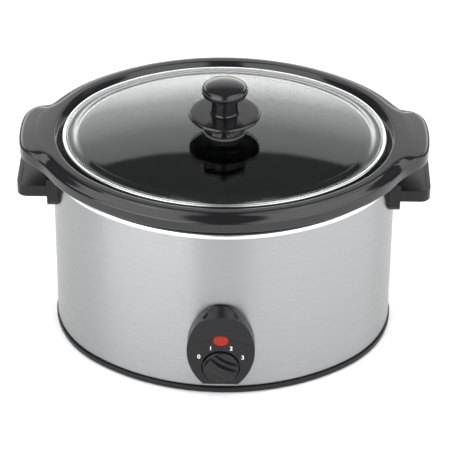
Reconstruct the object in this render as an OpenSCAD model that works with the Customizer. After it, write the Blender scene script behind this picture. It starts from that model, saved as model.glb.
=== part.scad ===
// Oval slow cooker: steel housing with a heater band round a liner, a lift-out
// stoneware crock, a glass lid and a four-position rotary switch.
// +Z is up, -Y is the front with the control panel, and Z = 0 is the table top.

/* [Body] */
// Width of the steel housing, left to right
body_w = 330; // [300:1:380]
// Depth of the steel housing, front to back
body_d = 272; // [250:1:320]
// Height of the steel sleeve
shell_h = 176; // [150:1:210]
// Thickness of the housing steel
shell_t = 0.7; // [0.5:0.1:1.2]
// Radius of the turned-in edges of the sleeve
hem_r = 3; // [2:0.5:5]
// Height that the feet stand proud of the base
foot_h = 1.5; // [1:0.5:4]
// Height of the base rim under the sleeve
base_h = 5.5; // [4:0.5:12]
// How far the base rim stands out past the sleeve
base_out = 1.4; // [0.8:0.2:3]

/* [Liner and heater] */
// Gap between the housing and the top of the liner well
liner_gap = 7; // [6:0.5:10]
// Extra gap at the foot of the liner, which tapers
liner_taper = 17; // [12:1:22]
// Height of the liner floor over the table
liner_floor_z = 26; // [24:1:40]
// Thickness of the liner steel
liner_t = 0.6; // [0.5:0.1:1]
// Height of the heater band
band_h = 56; // [40:1:70]
// Thickness of the heater band
band_t = 1.6; // [1.2:0.2:3]

/* [Crock] */
// Thickness of the stoneware wall
crock_wall = 6; // [5:0.5:9]
// Thickness of the stoneware floor
crock_floor = 8; // [6:0.5:12]
// Side clearance between crock and liner
crock_gap = 2.4; // [1.5:0.2:4]
// How far the lip stands out past the housing
lip_out = 15; // [10:0.5:20]
// Height of the lip over the liner flange
lip_h = 27; // [24:1:36]
// How far each ear stands out past the housing
ear_out = 28; // [20:1:40]
// Width of each ear, front to back
ear_w = 94; // [70:1:110]

/* [Lid] */
// Thickness of the glass
glass_t = 4; // [3:0.5:6]
// Rise of the glass from its flat flange to its flat top
glass_rise = 4; // [2:0.5:20]
// Width of the steel band round the glass
lid_rim_w = 3.6; // [3:0.2:6]
// Radius of the heat guard under the knob
guard_r = 34.5; // [28:0.5:42]
// Radius of the knob cap
cap_r = 22; // [17:0.5:28]
// Radius of the knob neck
neck_r = 13.2; // [9:0.2:16]
// Radius of the boss that stands on the glass
boss_r = 19.6; // [14:0.2:24]

/* [Handles] */
// How far each handle stands out past the housing
handle_out = 33; // [26:1:45]
// Width of each handle shelf
handle_w = 76; // [60:1:90]
// Height of the handle shelf's outer wall
handle_wall_h = 12; // [9:0.5:18]
// Thickness of the handle mouldings
handle_t = 3; // [2:0.5:4]

/* [Control panel] */
// How far the panel face stands out from the housing
panel_out = 11; // [9:0.5:16]
// Half width of the panel at its widest
panel_half_w = 32.3; // [28:0.5:40]
// Wall thickness of the panel covers
panel_t = 2.2; // [1.6:0.2:3]
// Radius of the dial
dial_r = 17; // [14:0.2:22]
// Height of the dial's axis over the table
dial_z = 40.2; // [36:0.2:60]
// How far the dial's grip stands out past the panel face
grip_out = 7; // [5:0.5:14]
// Radius of the switch shaft
shaft_r = 3; // [2.5:0.5:4]

/* [Cord inlet] */
// Bore of the cord gland
gland_bore_r = 3.75; // [3:0.25:5]
// Height of the cord gland over the table
gland_z = 34; // [30:1:60]

/* [Hidden] */
$fn = 96;
SKIN = 0.01;      // overlap that joins two shapes of one piece
fit = 0.3;        // gap between pieces that move apart
slide_fit = 0.05; // radial gap of a turning shaft in its bore

// Four-arc oval: two end arcs and two side arcs that meet without a corner.
half_w = body_w/2;
half_d = body_d/2;
oval_diff = half_w - half_d;
end_c = 1.58*oval_diff;
side_c = oval_diff*(2*end_c - oval_diff)/(2*(end_c - oval_diff));
end_r = half_w - end_c;
side_r = half_d + side_c;
end_half = atan(side_c/end_c);

// Heights of the stack
base_z = foot_h;
shell_z = base_z + base_h;
shell_top = shell_z + shell_h;
flange_z = shell_top + liner_t;
seat_z = flange_z + fit;
lip_top = seat_z + lip_h;
base_floor_z = base_z + 2.5;
base_top = base_floor_z + 2.5;

// Liner wall as offset from the housing outline at a height
liner_bottom = -(liner_gap + liner_taper);
function liner_off(z) = -liner_gap - liner_taper*(shell_top - z)/(shell_top - liner_floor_z);

// Crock wall, parallel to the liner
crock_z = liner_floor_z + 4;
ear_reach = half_w + ear_out;
ear_corner = 18;
ear_fillet = 24;
ear_lift = 4;
ear_lift_run = 14;
function crock_off(z) = liner_off(z) - liner_t - crock_gap;

// Lid seat inside the lip
lip_in = -2;
ledge_out = -8.5;
ledge_z = lip_top - 7;
ledge_in = -15;
lid_z = ledge_z + fit;
rim_out = ledge_out - 1.1;
glass_lift = 0.4;   // glass above the foot of its band
rim_fold = 0.2;     // band above the glass
rim_h = glass_lift + glass_t + rim_fold;
glass_edge = rim_out - 0.6;
glass_flange_in = glass_edge - 9;
glass_bend_in = glass_flange_in - 7;
glass_z = lid_z + glass_lift;
glass_top = glass_z + glass_t + glass_rise;

// Knob stack on the glass
seal_t = 1.2;
boss_z = glass_top + seal_t;
guard_t = 4;
guard_top = glass_top + 20.7;
guard_z = guard_top - guard_t;
neck_h = 19.5;
cap_z = guard_top + neck_h;
cap_edge_h = 7.5;
cap_rise = 2.8;
cap_round = 3.2;
knob_screw_r = 2.5;
washer_r = 12;
steel_washer_t = 1.2;
glass_under = glass_z + glass_rise;
spigot_r = 6;

// Control panel
face_y = -(half_d + panel_out);
recess_depth = 5;
recess_floor_y = face_y + recess_depth;
recess_r = dial_r + 1.4;
nut_r = 8;
nut_t = 1.8;
bracket_t = 1.2;
bracket_half = 24;
bracket_gap = 0.372; // to the sleeve at the bracket's side edges
bracket_y = -(sqrt(pow(side_r - shell_t, 2) - pow(bracket_half, 2)) - side_c - bracket_gap);
switch_y = bracket_y + bracket_t;
switch_depth = 15;
switch_w = 24;
bush_r = 4.8;
post_r = 3.5;
screw_r = 1.5;
screw_tip_y = face_y + 5;
post_low_x = 14;
post_low_z = dial_z - 16;
post_high_x = 17;
post_high_z = dial_z + 45.8;
panel_low_z = dial_z - 20.7;
panel_wide_z = dial_z + 17.8;
panel_top_z = dial_z + 64.5;
panel_crown_r = 20;
crown_c_z = panel_top_z - panel_crown_r;
crown_rise = crown_c_z - panel_wide_z;
panel_side_r = (pow(panel_half_w, 2) + pow(crown_rise, 2) - pow(panel_crown_r, 2))
    /(2*(panel_half_w - panel_crown_r));
crown_tilt = atan2(crown_rise, panel_side_r - panel_half_w);
seam_c_z = dial_z - 25.2;
seam_r = 57;
seam_gap = 0.3;
lens_z = seam_c_z + seam_r - 1;
lens_w = 15;
lens_h = 11.4;
lens_out = 1.5;
visor_c_z = dial_z + 12.2;
visor_r = 44.5;
visor_back_r = 54.5;
dial_rest = 150;
dial_back_y = recess_floor_y - 0.6;
dial_face_y = face_y - 2.4;
grip_y = face_y - grip_out;
grip_r = dial_r - 0.4;
grip_w = 12.6;
grip_scoops = [[1, 3.2], [-1, 1]]; // side and depth of each hollow
grip_scoop_half = 13;
neon_r = 3;
neon_holder_r = 4.6;
tab_t = 0.8;

// Handles
handle_top = shell_top - 12.5;
handle_reach = half_w + handle_out;
plate_x = half_w + 4;
plate_low_z = handle_top - 24.5;
plate_top_z = shell_top - hem_r - 1.5;
plate_half = handle_w/2 + 2;
corner_r = 10;
handle_screw_y = 22;
handle_screw_z = handle_top - 8.5;
handle_screw_r = 2;

// Feet and base fixings
foot_r = 7;
foot_stem_r = 2.5;
foot_x = half_w - 62;
foot_inset = 14.58; // foot centre to the side arc
foot_y = sqrt(pow(side_r - foot_inset, 2) - pow(foot_x, 2)) - side_c;
stud_r = 2.5;
shield_z = 21;
shield_t = 0.6;
spacer_r = 6;
spring_r = 5.5;
spring_wire_r = 0.8;

// Cord gland and terminals
gland_r = 7;
gland_flange_r = 10;
gland_out = 6;
gland_nut_r = 10;
block_x = -46;
block_y = 74;
block_w = 34;
block_d = 18;
block_h = 12;
wire_r = 1.2;
pad_y = half_d + liner_off(90) + 6;

// Everything moves back a little, so that the whole cooker is centred on Z
front_reach = half_d + panel_out + grip_out;
rear_reach = half_d + lip_out;
centre_y = (front_reach - rear_reach)/2;

// Points on an arc about (x, z), from angle a to angle b
function arc_pts(x, z, r, a, b, n = 8) =
    [for (i = [0 : n]) [x + r*cos(a + (b - a)*i/n), z + r*sin(a + (b - a)*i/n)]];

// Directions of the oval's corner points: close together round the ends, wider along the sides
end_dirs = [for (t = [-50 : 2.5 : 50]) t];
side_dirs = [for (t = [55 : 5 : 125]) t];
dirs = concat(end_dirs, side_dirs, [for (t = end_dirs) t + 180], [for (t = side_dirs) t + 180]);

// The point of the oval whose outward direction is t, grown by g
function oval_pt(t, g) = abs(cos(t)) >= cos(end_half)
    ? [sign(cos(t))*end_c + (end_r + g)*cos(t), (end_r + g)*sin(t)]
    : [(side_r + g)*cos(t), (side_r + g)*sin(t) - sign(sin(t))*side_c];

// Triangles of a loft through rings of n points: sides, then either caps or a closed tube
function loft_faces(n, rings, tube) = concat(
    [for (k = [0 : rings - (tube ? 1 : 2)], i = [0 : n - 1])
        [k*n + i, ((k + 1) % rings)*n + i, ((k + 1) % rings)*n + (i + 1) % n, k*n + (i + 1) % n]],
    tube ? [] : [[for (i = [0 : n - 1]) i], [for (i = [n - 1 : -1 : 0]) (rings - 1)*n + i]]);

// A section of [offset, height] pairs carried round the oval. A tube closes on itself.
// Otherwise the section runs from the middle of the underside to the middle of the top.
module oval_loft(pts, tube = false) polyhedron(
    points = [for (p = pts, t = dirs) concat(oval_pt(t, p[0]), p[1])],
    faces = loft_faces(len(dirs), len(pts), tube), convexity = 8);

// A flat oval plate from z0 to z1, grown past the housing outline
module oval_plate(grow, z0, z1) translate([0, 0, z0]) linear_extrude(height = z1 - z0)
    polygon([for (t = dirs) oval_pt(t, grow)]);

// The whole housing outline as a tall block, to seat pieces against
module housing_block(g = 0) oval_plate(g, -5, shell_top + 60);

// A straight rod along Y from y0 to y1
module rod_y(x, z, r, y0, y1) translate([x, y1, z]) rotate([90, 0, 0]) cylinder(r = r, h = y1 - y0);

// A straight rod along X from x0 to x1
module rod_x(y, z, r, x0, x1) translate([x0, y, z]) rotate([0, 90, 0]) cylinder(r = r, h = x1 - x0);

// Extrudes a flat outline drawn in X and Z along Y, from y0 to y1
module slab_y(y0, y1) translate([0, y1, 0]) rotate([90, 0, 0]) linear_extrude(height = y1 - y0) children();

// Hexagon nut along Z with a round bore
module hex_nut(r, bore, h) difference() {
    cylinder(r = r, h = h, $fn = 6);
    translate([0, 0, -1]) cylinder(r = bore, h = h + 2);
}

// ---- Base ----
module foot_places() for (x = [-1, 1], y = [-1, 1]) translate([x*foot_x, y*foot_y, 0]) children();

module rubber_feet() color("#202020") foot_places() {
    cylinder(r1 = foot_r - 0.8, r2 = foot_r, h = 1);
    translate([0, 0, 1 - SKIN]) cylinder(r = foot_r, h = base_floor_z - 1 + SKIN);
    cylinder(r = foot_stem_r, h = base_top);
    translate([0, 0, base_top]) cylinder(r1 = foot_stem_r + 1, r2 = foot_stem_r - 0.5, h = 2.4);
}

module base_plate() color("#1c1c1d") difference() {
    oval_loft([[-3, base_floor_z], [-3, base_z], [base_out - 1, base_z], [base_out, base_z + 1],
        [base_out, shell_z - 0.6], [base_out - 0.6, shell_z], [-hem_r - 0.2, shell_z],
        [-hem_r - 0.2, shell_z + 6], [-hem_r - 2, shell_z + 6], [-hem_r - 2, base_top]]);
    foot_places() cylinder(r = foot_stem_r, h = 40);
    cylinder(r = stud_r + 0.2, h = 40);
    for (i = [-3 : 3], s = [-1, 1]) translate([i*14 - 2, s*34 - 12, 0]) cube([4, 24, 20]);
}

// ---- Housing ----
module outer_shell() color("#c8c9cb") difference() {
    oval_loft(concat(
        arc_pts(-hem_r, shell_z + hem_r, hem_r, -90, 0, 3),
        arc_pts(-hem_r, shell_top - hem_r, hem_r, 0, 90, 3),
        arc_pts(-hem_r, shell_top - hem_r, hem_r - shell_t, 90, 0, 3),
        arc_pts(-hem_r, shell_z + hem_r, hem_r - shell_t, 0, -90, 3)), tube = true);
    rod_y(0, dial_z, nut_r + fit, -half_d - 10, -half_d + 20);
    rod_y(0, lens_z, neon_holder_r + 0.3, -half_d - 10, -half_d + 20);
    post_places() rod_y(0, 0, post_r + 0.5, -half_d - 10, -half_d + 20);
    rod_y(0, gland_z, gland_r, half_d - 10, half_d + 10);
    for (x = [-half_w - 10, half_w - 20], y = [-handle_screw_y, handle_screw_y])
        rod_x(y, handle_screw_z, handle_screw_r + 0.2, x, x + 30);
}

module inner_liner() color("#b4b6b8") oval_loft([[liner_off(liner_floor_z - liner_t), liner_floor_z - liner_t],
    [-liner_gap, shell_top], [0.2, shell_top], [0.2, shell_top - hem_r - 1],
    [0.9, shell_top - hem_r - 1], [0.9, flange_z - 0.4], [0.5, flange_z],
    [-liner_gap - liner_t, flange_z], [liner_bottom - liner_t, liner_floor_z]]);

band_z = 62;
band_off = liner_off(band_z) + 0.1;
band_top_off = liner_off(band_z + band_h) + 0.1;
module heater_band() color("#9a958a") difference() {
    union() {
        oval_loft([[band_off, band_z], [band_off + band_t, band_z],
            [band_top_off + band_t, band_z + band_h], [band_top_off, band_z + band_h]], tube = true);
        difference() {
            translate([-28, half_d - 30, band_z + 12]) cube([56, pad_y - half_d + 30, 32]);
            oval_loft([[band_off + band_t/2, band_z], [band_top_off + band_t/2, band_z + band_h]]);
        }
    }
    translate([-5, half_d - 60, band_z - 10]) cube([10, 80, band_h + 20]);
}

module band_springs() color("#8c8f92") for (z = [band_z + 20, band_z + 36])
    translate([0, pad_y + 2.6, z]) rotate([0, 90, 0]) {
        translate([0, 0, -9]) linear_extrude(height = 18, twist = -360*7, slices = 84, $fn = 8)
            translate([1.9, 0, 0]) circle(r = 0.5);
        for (s = [-1, 1]) translate([0, 0, s*11]) cube([3, 5.2, 4], center = true);
    }

module heater_tabs() color("#c9a24a") for (s = [-1, 1]) {
    translate([s*22 - 3, pad_y, band_z + 14]) cube([6, tab_t, 14]);
    translate([s*22 - 3, pad_y, band_z + 14]) cube([6, 7, tab_t]);
}

module fuse_clip() color("#a9abad") translate([17, pad_y, band_z + 33]) difference() {
    cube([10, 6, 5]);
    translate([5, 3, -1]) cylinder(r = 2, h = 10);
}

module thermal_fuse() color("#e6e2d6") translate([22, pad_y + 3, band_z + 29]) {
    cylinder(r = 2, h = 13);
    translate([0, 0, -6]) cylinder(r = 0.6, h = 25);
}

module heat_shield() color("#cfd0d2") difference() {
    oval_plate(liner_bottom - 4, shield_z - shield_t, shield_z);
    translate([0, 0, -1]) cylinder(r = stud_r + 0.1, h = 40);
}

module tie_stud() color("#8f9194") {
    translate([0, 0, base_z + 0.2]) cylinder(r = stud_r, h = liner_floor_z - liner_t - base_z - 0.2);
}

module tie_spacer() color("#a4a6a8") translate([0, 0, shield_z]) difference() {
    cylinder(r = spacer_r, h = liner_floor_z - liner_t - shield_z);
    translate([0, 0, -1]) cylinder(r = stud_r, h = 40);
}

module tie_spring() color("#8c8f92") {
    h = shield_z - shield_t - base_top;
    translate([0, 0, base_top]) linear_extrude(height = h, twist = -360*4, slices = 64, $fn = 8)
        translate([spring_r - spring_wire_r, 0]) circle(r = spring_wire_r);
    for (z = [base_top, base_top + h - 1.2]) translate([0, 0, z]) difference() {
        cylinder(r = spring_r, h = 1.2);
        translate([0, 0, -1]) cylinder(r = spring_r - 2*spring_wire_r, h = 4);
    }
}

module tie_nut() color("#8f9194") translate([0, 0, base_z + 0.4])
    hex_nut(4.6, stud_r, base_floor_z - base_z - 0.4);

// ---- Handles ----
// Plan outline with two round outer corners, from x0 to x1 and half as wide as half
module shelf_plan(x0, x1, half, r) {
    translate([x0, -half]) square([x1 - r - x0, 2*half]);
    translate([x0, -half + r]) square([x1 - x0, 2*half - 2*r]);
    for (s = [-1, 1]) translate([x1 - r, s*(half - r)]) circle(r = r);
}

// Saddle plate outline in Y and Z with round lower corners
module saddle_outline() {
    translate([-plate_half, plate_low_z + corner_r]) square([2*plate_half, plate_top_z - plate_low_z - corner_r]);
    translate([-plate_half + corner_r, plate_low_z]) square([2*plate_half - 2*corner_r, corner_r + 1]);
    for (s = [-1, 1]) translate([s*(plate_half - corner_r), plate_low_z + corner_r]) circle(r = corner_r);
}

module handle() difference() {
    union() {
        difference() {
            translate([half_w - 25, 0, 0]) rotate([90, 0, 90])
                linear_extrude(height = plate_x - half_w + 25) saddle_outline();
            housing_block();
        }
        difference() {
            translate([0, 0, handle_top - handle_wall_h]) linear_extrude(height = handle_wall_h)
                shelf_plan(plate_x - 1, handle_reach, handle_w/2, corner_r);
            translate([0, 0, handle_top - handle_wall_h - 1]) linear_extrude(height = handle_wall_h - handle_t)
                shelf_plan(plate_x + 0.5, handle_reach - handle_t, handle_w/2 - handle_t, corner_r - handle_t);
            translate([0, 0, handle_top - 1]) linear_extrude(height = 5)
                shelf_plan(plate_x + 4, handle_reach - 4, handle_w/2 - 4, corner_r - 4);
        }
    }
    for (y = [-handle_screw_y, handle_screw_y])
        rod_x(y, handle_screw_z, handle_screw_r, half_w - 30, plate_x - 1.5);
}

module right_handle() color("#19191a") handle();
module left_handle() color("#19191a") mirror([1, 0, 0]) handle();

// Distance from the middle to the shell's inner face at a handle screw
screw_face = end_c + sqrt(pow(end_r - shell_t, 2) - pow(handle_screw_y + 5, 2)) - 0.1;
module handle_screws() color("#9b9da0") for (m = [0, 1]) mirror([m, 0, 0])
    for (y = [-handle_screw_y, handle_screw_y]) {
        rod_x(y, handle_screw_z, handle_screw_r, screw_face - 1.4, plate_x - 1.5);
        rod_x(y, handle_screw_z, 3.8, screw_face - 3.8, screw_face - 1.4);
    }

module handle_washers() color("#b9bbbd") for (m = [0, 1]) mirror([m, 0, 0])
    for (y = [-handle_screw_y, handle_screw_y]) difference() {
        rod_x(y, handle_screw_z, 5, screw_face - 1.4, screw_face);
        rod_x(y, handle_screw_z, handle_screw_r, screw_face - 5, half_w + 5);
    }

// ---- Control panel ----
module low_posts() for (s = [-1, 1]) translate([s*post_low_x, 0, post_low_z]) children();
module high_posts() for (s = [-1, 1]) translate([s*post_high_x, 0, post_high_z]) children();
module post_places() {
    low_posts() children();
    high_posts() children();
}

// Right half of the panel's egg-shaped outline in X and Z, drawn in by g: a flank arc
// from the flat foot, which runs smoothly into the crown arc
function egg_side(g) = let (r = panel_side_r - g) concat(
    arc_pts(panel_half_w - panel_side_r, panel_wide_z, r,
        -asin((panel_wide_z - panel_low_z - g)/r), crown_tilt, 20),
    arc_pts(0, crown_c_z, panel_crown_r - g, crown_tilt + 4, 86, 6));

module egg(g = 0) {
    right = egg_side(g);
    polygon(concat(right, [for (i = [len(right) - 1 : -1 : 0]) [-right[i][0], right[i][1]]]));
}

module below_seam(g) intersection() {
    egg(g);
    translate([0, seam_c_z]) circle(r = seam_r - seam_gap/2 - g/2);
}

module above_seam(g) difference() {
    egg(g);
    translate([0, seam_c_z]) circle(r = seam_r + seam_gap/2 + g/2);
}

module lens_outline(g = 0) {
    for (s = [-1, 1]) translate([s*(lens_w - lens_h)/2, lens_z]) circle(r = lens_h/2 + g);
    translate([-(lens_w - lens_h)/2, lens_z - lens_h/2 - g]) square([lens_w - lens_h, lens_h + 2*g]);
}

module panel_lower_cover() color("#2a2a2c") difference() {
    union() {
        difference() {
            slab_y(face_y, -half_d + 12) below_seam(0);
            slab_y(face_y + panel_t, -half_d + 20) difference() {
                below_seam(panel_t);
                translate([0, dial_z]) circle(r = recess_r + panel_t);
            }
            housing_block();
            rod_y(0, dial_z, recess_r, recess_floor_y + panel_t, -half_d + 30);
        }
        low_posts() rod_y(0, 0, post_r, face_y + panel_t - SKIN, bracket_y);
    }
    rod_y(0, dial_z, recess_r, face_y - 5, recess_floor_y);
    rod_y(0, dial_z, bush_r + 0.4, face_y - 5, -half_d + 30);
    slab_y(face_y - 5, -half_d + 30) lens_outline(0.15);
    low_posts() rod_y(0, 0, screw_r, screw_tip_y, bracket_y + 5);
}

// Cone that slopes the visor's top from the face back to the housing
module visor_cone() {
    run = panel_out + 12;
    translate([0, face_y, visor_c_z]) rotate([-90, 0, 0])
        cylinder(r1 = visor_r, r2 = visor_r + (visor_back_r - visor_r)*run/panel_out, h = run);
}

module panel_visor_cover() color("#2a2a2c") difference() {
    union() {
        intersection() {
            difference() {
                slab_y(face_y, -half_d + 12) above_seam(0);
                slab_y(face_y + panel_t, -half_d + 20) intersection() {
                    above_seam(panel_t);
                    translate([0, visor_c_z]) circle(r = visor_r - panel_t);
                }
                housing_block();
            }
            visor_cone();
        }
        high_posts() rod_y(0, 0, post_r, face_y + panel_t - SKIN, bracket_y);
    }
    slab_y(face_y - 5, -half_d + 30) lens_outline(0.15);
    high_posts() rod_y(0, 0, screw_r, screw_tip_y, bracket_y + 5);
}

module panel_screws() color("#9b9da0") post_places() {
    rod_y(0, 0, screw_r, screw_tip_y, switch_y);
    rod_y(0, 0, 2.8, switch_y, switch_y + 2);
}

module switch_bracket() color("#aeb0b2") difference() {
    slab_y(bracket_y, switch_y) translate([-bracket_half, post_low_z - 5])
        square([2*bracket_half, post_high_z - post_low_z + 10]);
    post_places() rod_y(0, 0, screw_r, -half_d - 20, -half_d + 20);
    rod_y(0, dial_z, bush_r, -half_d - 20, -half_d + 20);
    rod_y(0, lens_z, neon_holder_r, -half_d - 20, -half_d + 20);
}

// ---- Switch ----
module switch_body() color("#d8d2c2") difference() {
    union() {
        translate([-switch_w/2, switch_y, dial_z - switch_w/2]) cube([switch_w, switch_depth, switch_w]);
        rod_y(0, dial_z, bush_r, recess_floor_y + 0.6, switch_y + 1);
    }
    rod_y(0, dial_z, shaft_r + slide_fit, -half_d - 20, switch_y + switch_depth - 3);
    rod_y(0, dial_z, 8.6, switch_y + 3, switch_y + 9);
    for (x = [-1, 1]) translate([x*7 - 3.2, switch_y + 5, dial_z - switch_w/2 - 1]) cube([6.4, tab_t, 4]);
}

module switch_nut() color("#8f9194") translate([0, bracket_y, dial_z]) rotate([90, 0, 0])
    hex_nut(nut_r, bush_r, nut_t);

module switch_tabs() color("#c9a24a") for (x = [-1, 1])
    translate([x*7 - 3.2, switch_y + 5, dial_z - switch_w/2 - 8]) cube([6.4, tab_t, 11]);

module switch_shaft() color("#d9d9d6") {
    rod_y(0, dial_z, shaft_r, dial_face_y + 2, switch_y + switch_depth - 4);
}

module switch_cam() color("#e9e4d4") difference() {
    union() {
        rod_y(0, dial_z, 7.2, switch_y + 4, switch_y + 8);
        for (a = [30, 150, 270]) translate([7*cos(a), 0, 7*sin(a)]) rod_y(0, dial_z, 1, switch_y + 4, switch_y + 8);
    }
    rod_y(0, dial_z, shaft_r, switch_y, switch_y + 12);
}

module shaft_clip() color("#8f9194") difference() {
    rod_y(0, dial_z, shaft_r + 1.8, recess_floor_y - 0.55, recess_floor_y - 0.05);
    rod_y(0, dial_z, shaft_r, recess_floor_y - 2, recess_floor_y + 2);
}

// Grip bar with hollowed sides, drawn upright in X and Z
module grip_outline() difference() {
    intersection() {
        circle(r = grip_r);
        square([2*grip_r + 2, grip_w], center = true);
    }
    for (h = grip_scoops) let (r = (pow(grip_scoop_half, 2) + pow(h[1], 2))/(2*h[1]))
        translate([0, h[0]*(grip_w/2 - h[1] + r)]) circle(r = r);
}

module dial_knob() color("#222224") difference() {
    union() {
        rod_y(0, dial_z, dial_r, dial_face_y, dial_back_y);
        translate([0, 0, dial_z]) rotate([0, 180 - dial_rest, 0]) slab_y(grip_y, dial_face_y + 1) grip_outline();
    }
    rod_y(0, dial_z, shaft_r, dial_face_y + 2, dial_back_y + 5);
}

// ---- Indicator ----
module indicator_lens() color("#c8321e") difference() {
    union() {
        slab_y(face_y - lens_out, face_y) lens_outline(-0.6);
        slab_y(face_y, face_y + 5) lens_outline(0);
    }
    rod_y(0, lens_z, neon_r + 0.2, face_y + 2, face_y + 10);
}

module neon_lamp() color("#f0c9a0") {
    rod_y(0, lens_z, neon_r, face_y + 2.4, -half_d + 6);
}

module neon_holder() color("#e4e0d4") difference() {
    rod_y(0, lens_z, neon_holder_r, face_y + 5, -half_d + 8);
    rod_y(0, lens_z, neon_r, face_y, -half_d + 6);
}

// ---- Wiring ----
module terminal_block() color("#e8e4d6") difference() {
    translate([block_x - block_w/2, block_y - block_d/2, base_top]) cube([block_w, block_d, block_h]);
    for (i = [-1 : 1]) translate([block_x + i*11, block_y, base_top + 3]) cylinder(r = 2, h = 20);
    for (i = [-1 : 1]) rod_y(block_x + i*11, base_top + 5, wire_r, block_y - 20, block_y - 4);
}

module terminal_screws() color("#b8a25a") for (i = [-1 : 1])
    translate([block_x + i*11, block_y, base_top + 3]) cylinder(r = 2, h = 8);

// Leads run from the terminals over the base to the switch and the heater
module lead(x, y_end) {
    rod_y(x, base_top + 5, wire_r, y_end, block_y - 4);
    translate([x, y_end, base_top + 5]) sphere(r = wire_r);
    translate([x, y_end, base_top + 5]) cylinder(r = wire_r, h = 5);
}

module internal_leads() color("#c63b2b") {
    lead(block_x - 11, 20);
    lead(block_x, -20);
    lead(block_x + 11, -40);
}

// ---- Cord inlet ----
module cord_gland() color("#1a1a1b") difference() {
    union() {
        difference() {
            rod_y(0, gland_z, gland_flange_r, half_d - 8, half_d + 3);
            housing_block();
        }
        rod_y(0, gland_z, gland_r, half_d - 9, half_d + gland_out);
    }
    rod_y(0, gland_z, gland_bore_r, half_d - 20, half_d + 20);
}

gland_nut_y = sqrt(pow(side_r - shell_t, 2) - pow(gland_nut_r, 2)) - side_c - 0.25;
module gland_nut() color("#1a1a1b") translate([0, gland_nut_y, gland_z]) rotate([90, 0, 0])
    hex_nut(gland_nut_r, gland_r, 5);

// ---- Crock ----
// Soft choice of the smaller or the larger of two lengths, which rounds the corner between them
function soft_min(a, b, p) = pow(pow(a, -p) + pow(b, -p), -1/p);
function soft_max(a, b, p) = pow(pow(a, p) + pow(b, p), 1/p);

// Reach of an ear from the end arc's centre, in direction t
function ear_line(t) = soft_min(
    sqrt(pow(ear_reach, 2) - pow(end_c*sin(t), 2)) - end_c*abs(cos(t)),
    ear_w/2/max(abs(sin(t)), 0.01), ear_corner);

// How far the ears carry the lip out past its plain outline, in direction t
function ear_push(t) = abs(cos(t)) < cos(end_half) ? 0
    : soft_max(ear_line(t), end_r + lip_out, ear_fillet) - end_r - lip_out;

// Ring points are [offset, height, share of the ear's push, share of the ear's lift]
function crock_ring(p) = [for (t = dirs) let (e = ear_push(t), lift = ear_lift*min(1, e/ear_lift_run))
    concat(oval_pt(t, p[0] + e*p[2]), p[1] + lift*p[3])];

module stoneware_crock() color("#141415") {
    inner_z = crock_z + crock_floor;
    rings = [[crock_off(crock_z) - 6, crock_z, 0, 0], [crock_off(crock_z + 6), crock_z + 6, 0, 0],
        [crock_off(seat_z), seat_z, 0, 0], [-1.5, seat_z, 0, 0], [0, seat_z + 7, 0, 0],
        [lip_out - 4, seat_z + 11, 1, 0.6], [lip_out - 0.8, seat_z + 12, 1, 0.6],
        [lip_out, seat_z + 14, 1, 0.6],
        [lip_out, lip_top - 6, 1, 1], [lip_out - 1.6, lip_top - 4.4, 1, 1],
        [4, lip_top - 1.4, 0.35, 0.3], [lip_in, lip_top, 0, 0],
        [lip_in - 1, lip_top - 0.6, 0, 0], [ledge_out, ledge_z + 0.5, 0, 0], [ledge_out - 0.6, ledge_z, 0, 0],
        [ledge_in, ledge_z, 0, 0], [crock_off(ledge_z - 8) - crock_wall, ledge_z - 8, 0, 0],
        [crock_off(inner_z + 12) - crock_wall, inner_z + 12, 0, 0],
        [crock_off(inner_z) - crock_wall - 8, inner_z, 0, 0]];
    polyhedron(points = [for (r = rings) each crock_ring(r)],
        faces = loft_faces(len(dirs), len(rings), false), convexity = 8);
}

// ---- Lid ----
module lid_glass() color("#b9c4c6", 0.5) difference() {
    oval_loft([[glass_bend_in, glass_under], [glass_flange_in, glass_z], [glass_edge, glass_z],
        [glass_edge, glass_z + glass_t], [glass_flange_in, glass_z + glass_t], [glass_bend_in, glass_top]]);
    cylinder(r = spigot_r, h = 400);
}

module lid_rim() color("#dfe1e3") oval_loft([[rim_out - lid_rim_w, glass_z + glass_t],
    [glass_edge, glass_z + glass_t], [glass_edge, lid_z], [rim_out - 0.2, lid_z],
    [rim_out, lid_z + 0.4], [rim_out, lid_z + rim_h - 0.5], [rim_out - 0.6, lid_z + rim_h],
    [rim_out - lid_rim_w + 0.2, lid_z + rim_h]], tube = true);

module knob_guard() color("#1b1b1c") difference() {
    rotate_extrude() polygon([[0, boss_z], [boss_r, boss_z], [boss_r - 1.2, guard_z],
        [guard_r - 1.5, guard_z], [guard_r, guard_z + 1.2], [guard_r, guard_top - 1.2],
        [guard_r - 1.2, guard_top], [neck_r + 2, guard_top], [0, guard_top]]);
    translate([0, 0, boss_z - 1]) cylinder(r = knob_screw_r + 0.3, h = 80);
    translate([0, 0, boss_z - 1]) cylinder(r = spigot_r, h = 2);
}

module knob_grip() color("#1b1b1c") difference() {
    rotate_extrude() polygon(concat([[0, guard_top], [neck_r + 0.8, guard_top], [neck_r + 0.8, guard_top + 1.2],
        [neck_r, guard_top + 2], [neck_r - 0.4, cap_z - 4], [neck_r + 1, cap_z - 1.5]],
        arc_pts(cap_r - cap_round, cap_z + cap_round, cap_round, -90, 40),
        [[cap_r - 2.2, cap_z + cap_edge_h], [cap_r/2, cap_z + cap_edge_h + cap_rise*0.75],
        [0, cap_z + cap_edge_h + cap_rise]]));
    translate([0, 0, guard_top - 1]) cylinder(r = knob_screw_r, h = neck_h);
}

module knob_seal() color("#d5d5cf") difference() {
    translate([0, 0, glass_top]) cylinder(r = boss_r + 0.8, h = seal_t);
    cylinder(r = spigot_r, h = 400);
}

module knob_lower_seal() color("#d5d5cf") difference() {
    translate([0, 0, glass_under - seal_t]) cylinder(r = washer_r + 1, h = seal_t);
    cylinder(r = spigot_r, h = 400);
}

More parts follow.
